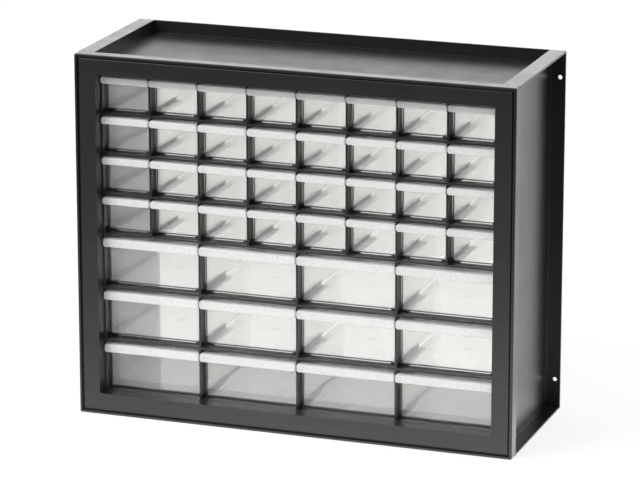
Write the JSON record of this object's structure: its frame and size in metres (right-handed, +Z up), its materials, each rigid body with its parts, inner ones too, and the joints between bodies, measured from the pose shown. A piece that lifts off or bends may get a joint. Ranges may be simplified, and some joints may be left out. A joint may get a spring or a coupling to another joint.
{
  "type": "parts bin cabinet",
  "caption": "Shallow black plastic cabinet with a grid of clear pull-out drawers, small ones above large ones, a tray top, an open back and holes for wall screws.",
  "frame": {"origin": "on the surface the cabinet stands on, at the middle of its width and depth", "axes": "+X along the width to the right seen from the front, +Y from the front to the back, +Z up"},
  "size_m": [0.49, 0.186, 0.4],
  "materials": {
    "case_plastic": "satin black",
    "drawer_plastic": "clear, slightly milky",
    "case_screw": "dark zinc"
  },
  "bodies": {
    "cabinet": {"front_frame": "case_plastic", "front_bezel": "case_plastic", "top_tray": "case_plastic", "bottom_panel": "case_plastic", "left_side_panel": "case_plastic", "right_side_panel": "case_plastic", "top_rail": "case_plastic", "runner_rack_row_1": "case_plastic", "runner_rack_row_2": "case_plastic", "runner_rack_row_3": "case_plastic", "runner_rack_row_4": "case_plastic", "runner_rack_row_5": "case_plastic", "runner_rack_row_6": "case_plastic", "runner_rack_row_7": "case_plastic", "bay_posts": "case_plastic", "assembly_screws": "case_screw"},
    "large_drawer_r1_c1_body": {"large_drawer_r1_c1": "drawer_plastic"},
    "large_drawer_r1_c2_body": {"large_drawer_r1_c2": "drawer_plastic"},
    "large_drawer_r1_c3_body": {"large_drawer_r1_c3": "drawer_plastic"},
    "large_drawer_r1_c4_body": {"large_drawer_r1_c4": "drawer_plastic"},
    "large_drawer_r2_c1_body": {"large_drawer_r2_c1": "drawer_plastic"},
    "large_drawer_r2_c2_body": {"large_drawer_r2_c2": "drawer_plastic"},
    "large_drawer_r2_c3_body": {"large_drawer_r2_c3": "drawer_plastic"},
    "large_drawer_r2_c4_body": {"large_drawer_r2_c4": "drawer_plastic"},
    "large_drawer_r3_c1_body": {"large_drawer_r3_c1": "drawer_plastic"},
    "large_drawer_r3_c2_body": {"large_drawer_r3_c2": "drawer_plastic"},
    "large_drawer_r3_c3_body": {"large_drawer_r3_c3": "drawer_plastic"},
    "large_drawer_r3_c4_body": {"large_drawer_r3_c4": "drawer_plastic"},
    "small_drawer_r1_c1_body": {"small_drawer_r1_c1": "drawer_plastic"},
    "small_drawer_r1_c8_body": {"small_drawer_r1_c8": "drawer_plastic"},
    "small_drawer_r4_c1_body": {"small_drawer_r4_c1": "drawer_plastic"},
    "small_drawer_r4_c8_body": {"small_drawer_r4_c8": "drawer_plastic"},
    "small_drawer_r1_c4_body": {"small_drawer_r1_c4": "drawer_plastic"},
    "small_drawer_r2_c2_body": {"small_drawer_r2_c2": "drawer_plastic"},
    "small_drawer_r3_c6_body": {"small_drawer_r3_c6": "drawer_plastic"},
    "small_drawer_r4_c5_body": {"small_drawer_r4_c5": "drawer_plastic"},
    "small_drawer_r2_c7_body": {"small_drawer_r2_c7": "drawer_plastic"},
    "small_drawer_r3_c3_body": {"small_drawer_r3_c3": "drawer_plastic"},
    "small_drawer_r1_c2_body": {"small_drawer_r1_c2": "drawer_plastic"},
    "small_drawer_r2_c8_body": {"small_drawer_r2_c8": "drawer_plastic"},
    "small_drawer_r3_c1_body": {"small_drawer_r3_c1": "drawer_plastic"},
    "small_drawer_r4_c3_body": {"small_drawer_r4_c3": "drawer_plastic"},
    "small_drawer_r1_c6_body": {"small_drawer_r1_c6": "drawer_plastic"},
    "small_drawer_r2_c5_body": {"small_drawer_r2_c5": "drawer_plastic"},
    "small_drawer_r3_c8_body": {"small_drawer_r3_c8": "drawer_plastic"},
    "small_drawer_r1_c3_body": {"small_drawer_r1_c3": "drawer_plastic"},
    "small_drawer_r1_c5_body": {"small_drawer_r1_c5": "drawer_plastic"},
    "small_drawer_r1_c7_body": {"small_drawer_r1_c7": "drawer_plastic"},
    "small_drawer_r2_c1_body": {"small_drawer_r2_c1": "drawer_plastic"},
    "small_drawer_r2_c3_body": {"small_drawer_r2_c3": "drawer_plastic"},
    "small_drawer_r2_c4_body": {"small_drawer_r2_c4": "drawer_plastic"},
    "small_drawer_r2_c6_body": {"small_drawer_r2_c6": "drawer_plastic"},
    "small_drawer_r3_c2_body": {"small_drawer_r3_c2": "drawer_plastic"},
    "small_drawer_r3_c4_body": {"small_drawer_r3_c4": "drawer_plastic"},
    "small_drawer_r3_c5_body": {"small_drawer_r3_c5": "drawer_plastic"},
    "small_drawer_r3_c7_body": {"small_drawer_r3_c7": "drawer_plastic"},
    "small_drawer_r4_c2_body": {"small_drawer_r4_c2": "drawer_plastic"},
    "small_drawer_r4_c4_body": {"small_drawer_r4_c4": "drawer_plastic"},
    "small_drawer_r4_c6_body": {"small_drawer_r4_c6": "drawer_plastic"},
    "small_drawer_r4_c7_body": {"small_drawer_r4_c7": "drawer_plastic"}
  },
  "joints": [
    {"name": "large_drawer_r1_c1_slide", "type": "slide", "parent": "cabinet", "child": "large_drawer_r1_c1_body", "axis": [0, -1, 0], "range_m": [0, 0.1398]},
    {"name": "large_drawer_r1_c2_slide", "type": "slide", "parent": "cabinet", "child": "large_drawer_r1_c2_body", "axis": [0, -1, 0], "range_m": [0, 0.1398]},
    {"name": "large_drawer_r1_c3_slide", "type": "slide", "parent": "cabinet", "child": "large_drawer_r1_c3_body", "axis": [0, -1, 0], "range_m": [0, 0.1398]},
    {"name": "large_drawer_r1_c4_slide", "type": "slide", "parent": "cabinet", "child": "large_drawer_r1_c4_body", "axis": [0, -1, 0], "range_m": [0, 0.1398]},
    {"name": "large_drawer_r2_c1_slide", "type": "slide", "parent": "cabinet", "child": "large_drawer_r2_c1_body", "axis": [0, -1, 0], "range_m": [0, 0.1398]},
    {"name": "large_drawer_r2_c2_slide", "type": "slide", "parent": "cabinet", "child": "large_drawer_r2_c2_body", "axis": [0, -1, 0], "range_m": [0, 0.1398]},
    {"name": "large_drawer_r2_c3_slide", "type": "slide", "parent": "cabinet", "child": "large_drawer_r2_c3_body", "axis": [0, -1, 0], "range_m": [0, 0.1398]},
    {"name": "large_drawer_r2_c4_slide", "type": "slide", "parent": "cabinet", "child": "large_drawer_r2_c4_body", "axis": [0, -1, 0], "range_m": [0, 0.1398]},
    {"name": "large_drawer_r3_c1_slide", "type": "slide", "parent": "cabinet", "child": "large_drawer_r3_c1_body", "axis": [0, -1, 0], "range_m": [0, 0.1398]},
    {"name": "large_drawer_r3_c2_slide", "type": "slide", "parent": "cabinet", "child": "large_drawer_r3_c2_body", "axis": [0, -1, 0], "range_m": [0, 0.1398]},
    {"name": "large_drawer_r3_c3_slide", "type": "slide", "parent": "cabinet", "child": "large_drawer_r3_c3_body", "axis": [0, -1, 0], "range_m": [0, 0.1398]},
    {"name": "large_drawer_r3_c4_slide", "type": "slide", "parent": "cabinet", "child": "large_drawer_r3_c4_body", "axis": [0, -1, 0], "range_m": [0, 0.1398]},
    {"name": "small_drawer_r1_c1_slide", "type": "slide", "parent": "cabinet", "child": "small_drawer_r1_c1_body", "axis": [0, -1, 0], "range_m": [0, 0.1398]},
    {"name": "small_drawer_r1_c8_slide", "type": "slide", "parent": "cabinet", "child": "small_drawer_r1_c8_body", "axis": [0, -1, 0], "range_m": [0, 0.1398]},
    {"name": "small_drawer_r4_c1_slide", "type": "slide", "parent": "cabinet", "child": "small_drawer_r4_c1_body", "axis": [0, -1, 0], "range_m": [0, 0.1398]},
    {"name": "small_drawer_r4_c8_slide", "type": "slide", "parent": "cabinet", "child": "small_drawer_r4_c8_body", "axis": [0, -1, 0], "range_m": [0, 0.1398]},
    {"name": "small_drawer_r1_c4_slide", "type": "slide", "parent": "cabinet", "child": "small_drawer_r1_c4_body", "axis": [0, -1, 0], "range_m": [0, 0.1398]},
    {"name": "small_drawer_r2_c2_slide", "type": "slide", "parent": "cabinet", "child": "small_drawer_r2_c2_body", "axis": [0, -1, 0], "range_m": [0, 0.1398]},
    {"name": "small_drawer_r3_c6_slide", "type": "slide", "parent": "cabinet", "child": "small_drawer_r3_c6_body", "axis": [0, -1, 0], "range_m": [0, 0.1398]},
    {"name": "small_drawer_r4_c5_slide", "type": "slide", "parent": "cabinet", "child": "small_drawer_r4_c5_body", "axis": [0, -1, 0], "range_m": [0, 0.1398]},
    {"name": "small_drawer_r2_c7_slide", "type": "slide", "parent": "cabinet", "child": "small_drawer_r2_c7_body", "axis": [0, -1, 0], "range_m": [0, 0.1398]},
    {"name": "small_drawer_r3_c3_slide", "type": "slide", "parent": "cabinet", "child": "small_drawer_r3_c3_body", "axis": [0, -1, 0], "range_m": [0, 0.1398]},
    {"name": "small_drawer_r1_c2_slide", "type": "slide", "parent": "cabinet", "child": "small_drawer_r1_c2_body", "axis": [0, -1, 0], "range_m": [0, 0.1398]},
    {"name": "small_drawer_r2_c8_slide", "type": "slide", "parent": "cabinet", "child": "small_drawer_r2_c8_body", "axis": [0, -1, 0], "range_m": [0, 0.1398]},
    {"name": "small_drawer_r3_c1_slide", "type": "slide", "parent": "cabinet", "child": "small_drawer_r3_c1_body", "axis": [0, -1, 0], "range_m": [0, 0.1398]},
    {"name": "small_drawer_r4_c3_slide", "type": "slide", "parent": "cabinet", "child": "small_drawer_r4_c3_body", "axis": [0, -1, 0], "range_m": [0, 0.1398]},
    {"name": "small_drawer_r1_c6_slide", "type": "slide", "parent": "cabinet", "child": "small_drawer_r1_c6_body", "axis": [0, -1, 0], "range_m": [0, 0.1398]},
    {"name": "small_drawer_r2_c5_slide", "type": "slide", "parent": "cabinet", "child": "small_drawer_r2_c5_body", "axis": [0, -1, 0], "range_m": [0, 0.1398]},
    {"name": "small_drawer_r3_c8_slide", "type": "slide", "parent": "cabinet", "child": "small_drawer_r3_c8_body", "axis": [0, -1, 0], "range_m": [0, 0.1398]},
    {"name": "small_drawer_r1_c3_slide", "type": "slide", "parent": "cabinet", "child": "small_drawer_r1_c3_body", "axis": [0, -1, 0], "range_m": [0, 0.1398]},
    {"name": "small_drawer_r1_c5_slide", "type": "slide", "parent": "cabinet", "child": "small_drawer_r1_c5_body", "axis": [0, -1, 0], "range_m": [0, 0.1398]},
    {"name": "small_drawer_r1_c7_slide", "type": "slide", "parent": "cabinet", "child": "small_drawer_r1_c7_body", "axis": [0, -1, 0], "range_m": [0, 0.1398]},
    {"name": "small_drawer_r2_c1_slide", "type": "slide", "parent": "cabinet", "child": "small_drawer_r2_c1_body", "axis": [0, -1, 0], "range_m": [0, 0.1398]},
    {"name": "small_drawer_r2_c3_slide", "type": "slide", "parent": "cabinet", "child": "small_drawer_r2_c3_body", "axis": [0, -1, 0], "range_m": [0, 0.1398]},
    {"name": "small_drawer_r2_c4_slide", "type": "slide", "parent": "cabinet", "child": "small_drawer_r2_c4_body", "axis": [0, -1, 0], "range_m": [0, 0.1398]},
    {"name": "small_drawer_r2_c6_slide", "type": "slide", "parent": "cabinet", "child": "small_drawer_r2_c6_body", "axis": [0, -1, 0], "range_m": [0, 0.1398]},
    {"name": "small_drawer_r3_c2_slide", "type": "slide", "parent": "cabinet", "child": "small_drawer_r3_c2_body", "axis": [0, -1, 0], "range_m": [0, 0.1398]},
    {"name": "small_drawer_r3_c4_slide", "type": "slide", "parent": "cabinet", "child": "small_drawer_r3_c4_body", "axis": [0, -1, 0], "range_m": [0, 0.1398]},
    {"name": "small_drawer_r3_c5_slide", "type": "slide", "parent": "cabinet", "child": "small_drawer_r3_c5_body", "axis": [0, -1, 0], "range_m": [0, 0.1398]},
    {"name": "small_drawer_r3_c7_slide", "type": "slide", "parent": "cabinet", "child": "small_drawer_r3_c7_body", "axis": [0, -1, 0], "range_m": [0, 0.1398]},
    {"name": "small_drawer_r4_c2_slide", "type": "slide", "parent": "cabinet", "child": "small_drawer_r4_c2_body", "axis": [0, -1, 0], "range_m": [0, 0.1398]},
    {"name": "small_drawer_r4_c4_slide", "type": "slide", "parent": "cabinet", "child": "small_drawer_r4_c4_body", "axis": [0, -1, 0], "range_m": [0, 0.1398]},
    {"name": "small_drawer_r4_c6_slide", "type": "slide", "parent": "cabinet", "child": "small_drawer_r4_c6_body", "axis": [0, -1, 0], "range_m": [0, 0.1398]},
    {"name": "small_drawer_r4_c7_slide", "type": "slide", "parent": "cabinet", "child": "small_drawer_r4_c7_body", "axis": [0, -1, 0], "range_m": [0, 0.1398]}
  ]
}
